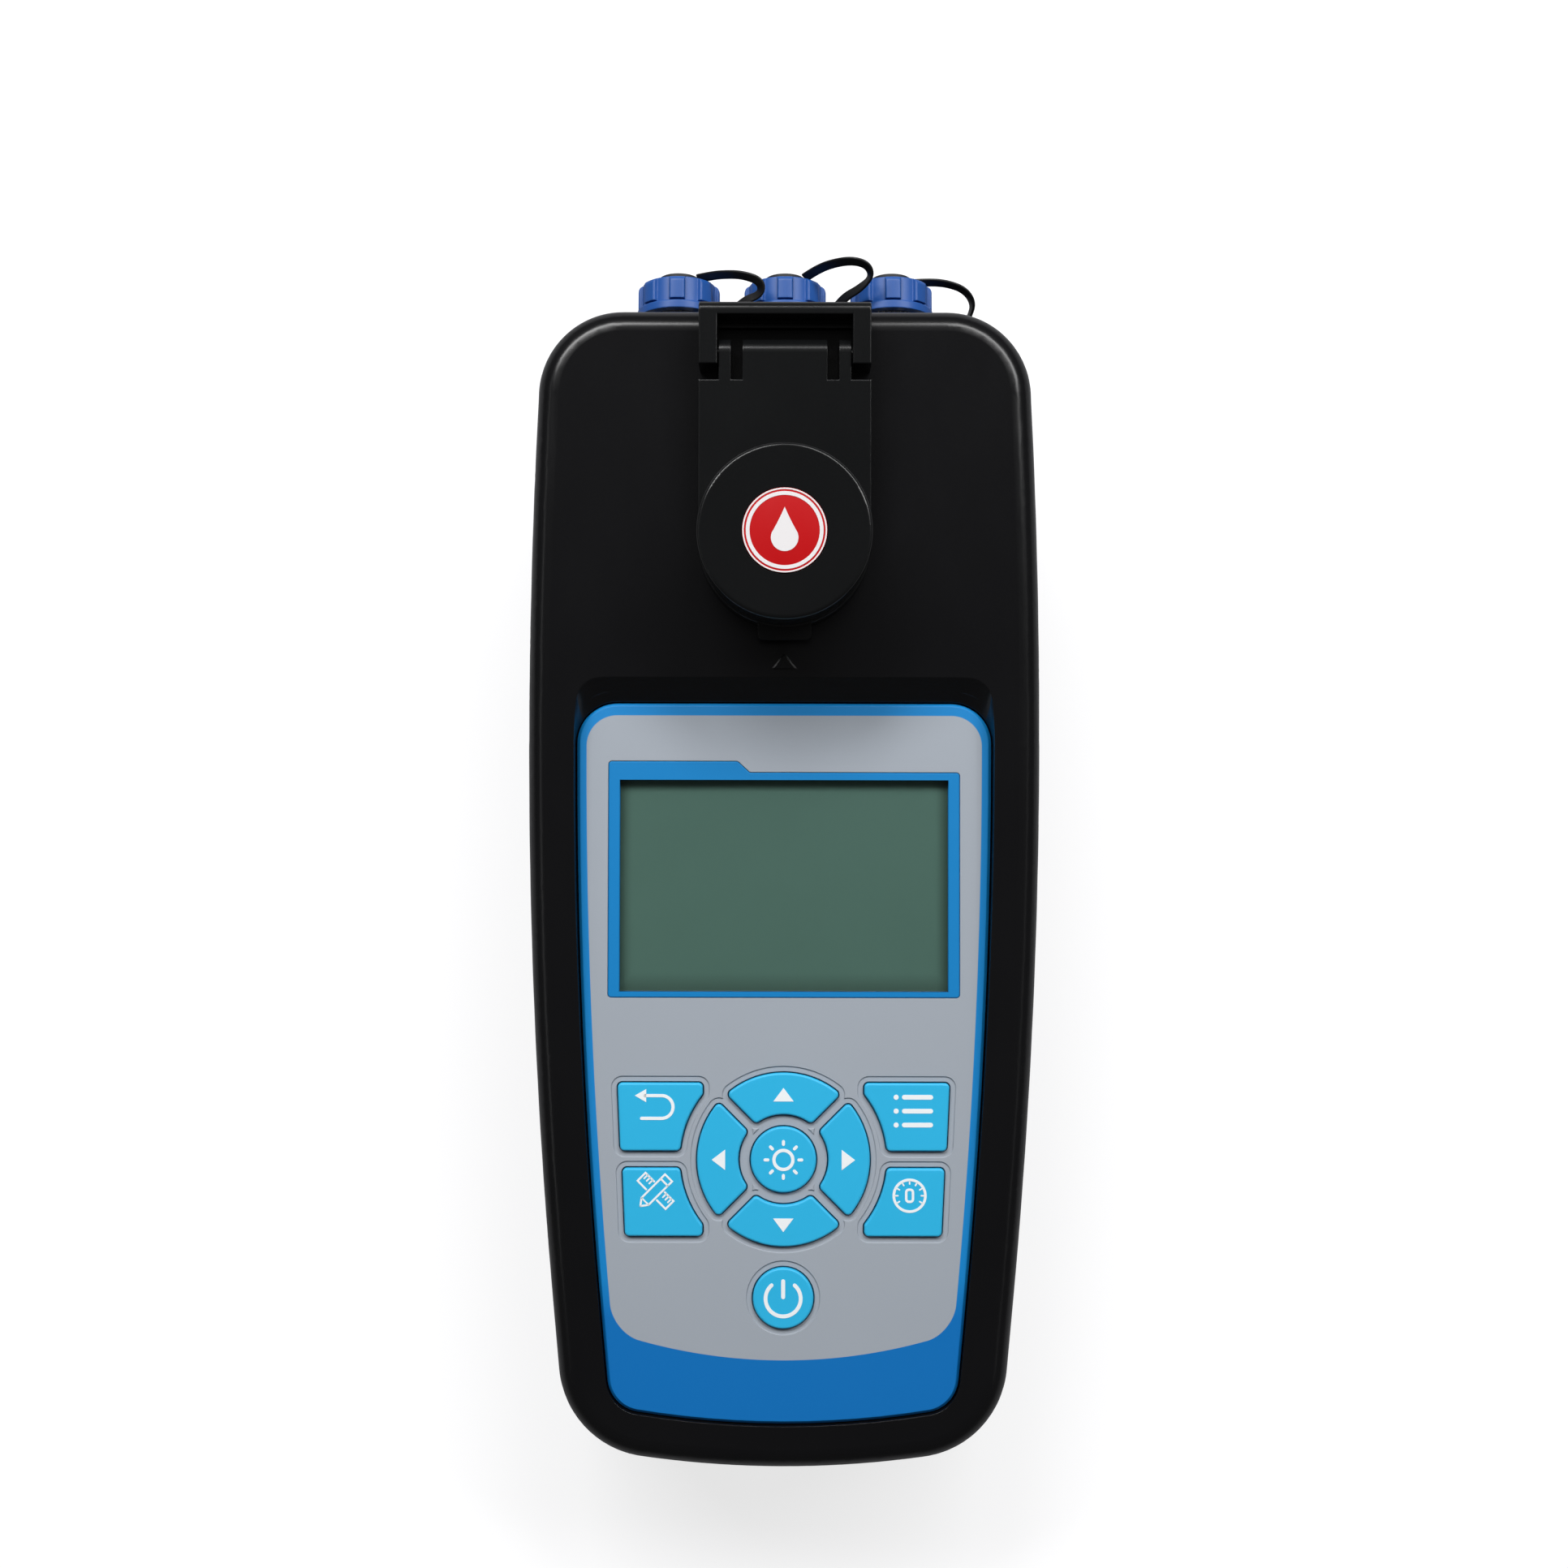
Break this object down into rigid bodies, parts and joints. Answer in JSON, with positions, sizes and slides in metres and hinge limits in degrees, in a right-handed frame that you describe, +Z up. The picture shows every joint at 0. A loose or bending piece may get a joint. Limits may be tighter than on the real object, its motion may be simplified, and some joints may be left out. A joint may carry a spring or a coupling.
{
  "type": "handheld water quality analyzer",
  "caption": "Handheld water analyzer with a tilted keypad face, display, hinged sample cover over a cell well, and capped probe sockets at the rear.",
  "frame": {"origin": "centre of the part's outline, on the surface that its feet rest on", "axes": "+X to the right across the face, +Y along the case towards the sockets, +Z up out of the face side"},
  "size_m": [0.101, 0.2445, 0.0787],
  "materials": {
    "case_black": "glossy black moulded ABS",
    "panel_print": "grey field with a blue border, satin print",
    "window": "clear acrylic with a blue printed frame",
    "display": "grey-green liquid crystal display",
    "key_cyan": "satin cyan key caps with white symbols",
    "cap_blue": "satin blue moulded plastic",
    "rubber_black": "soft black rubber",
    "rubber_grey": "soft grey silicone",
    "badge_red": "red enamel disc with a white border and drop",
    "steel": "plated steel",
    "brass": "gold-plated brass",
    "socket_metal": "dark anodised aluminium",
    "insulator": "black insulating plastic",
    "board_green": "green circuit board",
    "cell": "plain battery sleeve",
    "optics": "dark optical blocks"
  },
  "bodies": {
    "case": {"upper_case": "case_black", "lower_case": "case_black", "case_gasket": "rubber_grey", "case_screws": "steel", "rubber_feet": "rubber_black", "battery_cover": "case_black", "battery_cover_seal": "rubber_grey", "battery_cover_screws": "steel", "battery_cells": "cell", "battery_contacts": "steel", "front_panel": "panel_print", "display_window": "window", "display_bezel": "steel", "display_glass": "display", "keypad_mat": "rubber_grey", "main_board": "board_green", "board_screws": "steel", "sample_well": "optics", "well_collar": "optics", "light_source": "optics", "light_detector": "optics", "hinge_bracket": "case_black", "socket_inserts": "insulator", "contact_pins": "brass", "socket_nuts": "steel", "socket_washers": "rubber_black", "socket_1": "socket_metal", "strap_loop_1": "rubber_black", "strap_1": "rubber_black", "socket_2": "socket_metal", "strap_loop_2": "rubber_black", "strap_2": "rubber_black", "socket_3": "socket_metal", "strap_loop_3": "rubber_black", "strap_3": "rubber_black"},
    "cover": {"cover_plate": "case_black", "cover_knob": "case_black", "cover_badge": "badge_red", "cover_seal": "rubber_black"},
    "key_up": {"key_up": "key_cyan"},
    "key_left": {"key_left": "key_cyan"},
    "key_down": {"key_down": "key_cyan"},
    "key_right": {"key_right": "key_cyan"},
    "key_center": {"key_center": "key_cyan"},
    "key_back": {"key_back": "key_cyan"},
    "key_menu": {"key_menu": "key_cyan"},
    "key_read": {"key_read": "key_cyan"},
    "key_zero": {"key_zero": "key_cyan"},
    "key_power": {"key_power": "key_cyan"},
    "tether_1": {"cap_rivet_1": "steel", "strap_eye_1": "rubber_black"},
    "cap_1": {"dust_cap_1": "cap_blue"},
    "tether_2": {"cap_rivet_2": "steel", "strap_eye_2": "rubber_black"},
    "cap_2": {"dust_cap_2": "cap_blue"},
    "tether_3": {"cap_rivet_3": "steel", "strap_eye_3": "rubber_black"},
    "cap_3": {"dust_cap_3": "cap_blue"}
  },
  "joints": [
    {"name": "cover_hinge", "type": "hinge", "parent": "case", "child": "cover", "pos_m": [0, 0.09415, 0.06381], "axis": [-1, 0, 0], "range_deg": [0, 110]},
    {"name": "press_up", "type": "slide", "parent": "case", "child": "key_up", "axis": [0, 0.0702, -0.9975], "range_m": [0, 0.001], "stiffness_N_per_m": 800, "deforming": ["keypad_mat"]},
    {"name": "press_left", "type": "slide", "parent": "case", "child": "key_left", "axis": [0, 0.0702, -0.9975], "range_m": [0, 0.001], "stiffness_N_per_m": 800, "deforming": ["keypad_mat"]},
    {"name": "press_down", "type": "slide", "parent": "case", "child": "key_down", "axis": [0, 0.0702, -0.9975], "range_m": [0, 0.001], "stiffness_N_per_m": 800, "deforming": ["keypad_mat"]},
    {"name": "press_right", "type": "slide", "parent": "case", "child": "key_right", "axis": [0, 0.0702, -0.9975], "range_m": [0, 0.001], "stiffness_N_per_m": 800, "deforming": ["keypad_mat"]},
    {"name": "press_center", "type": "slide", "parent": "case", "child": "key_center", "axis": [0, 0.0702, -0.9975], "range_m": [0, 0.001], "stiffness_N_per_m": 800, "deforming": ["keypad_mat"]},
    {"name": "press_back", "type": "slide", "parent": "case", "child": "key_back", "axis": [0, 0.0702, -0.9975], "range_m": [0, 0.001], "stiffness_N_per_m": 800, "deforming": ["keypad_mat"]},
    {"name": "press_menu", "type": "slide", "parent": "case", "child": "key_menu", "axis": [0, 0.0702, -0.9975], "range_m": [0, 0.001], "stiffness_N_per_m": 800, "deforming": ["keypad_mat"]},
    {"name": "press_read", "type": "slide", "parent": "case", "child": "key_read", "axis": [0, 0.0702, -0.9975], "range_m": [0, 0.001], "stiffness_N_per_m": 800, "deforming": ["keypad_mat"]},
    {"name": "press_zero", "type": "slide", "parent": "case", "child": "key_zero", "axis": [0, 0.0702, -0.9975], "range_m": [0, 0.001], "stiffness_N_per_m": 800, "deforming": ["keypad_mat"]},
    {"name": "press_power", "type": "slide", "parent": "case", "child": "key_power", "axis": [0, 0.0702, -0.9975], "range_m": [0, 0.001], "stiffness_N_per_m": 800, "deforming": ["keypad_mat"]},
    {"name": "cap_slide_1", "type": "slide", "parent": "case", "child": "tether_1", "axis": [0, 1, 0], "range_m": [0, 0.0045], "deforming": ["strap_1"]},
    {"name": "cap_turn_1", "type": "hinge", "parent": "tether_1", "child": "cap_1", "pos_m": [-0.0225, 0.1152, 0.03], "axis": [0, 1, 0], "range_deg": [0, 1084]},
    {"name": "cap_slide_2", "type": "slide", "parent": "case", "child": "tether_2", "axis": [0, 1, 0], "range_m": [0, 0.0045], "deforming": ["strap_2"]},
    {"name": "cap_turn_2", "type": "hinge", "parent": "tether_2", "child": "cap_2", "pos_m": [0, 0.1152, 0.03], "axis": [0, 1, 0], "range_deg": [0, 1084]},
    {"name": "cap_slide_3", "type": "slide", "parent": "case", "child": "tether_3", "axis": [0, 1, 0], "range_m": [0, 0.0045], "deforming": ["strap_3"]},
    {"name": "cap_turn_3", "type": "hinge", "parent": "tether_3", "child": "cap_3", "pos_m": [0.0225, 0.1152, 0.03], "axis": [0, 1, 0], "range_deg": [0, 1084]}
  ],
  "couplings": [
    {"joint": "cap_turn_1", "follows": "cap_slide_1", "rad_per_m": 4188.8},
    {"joint": "cap_turn_2", "follows": "cap_slide_2", "rad_per_m": 4188.8},
    {"joint": "cap_turn_3", "follows": "cap_slide_3", "rad_per_m": 4188.8}
  ]
}
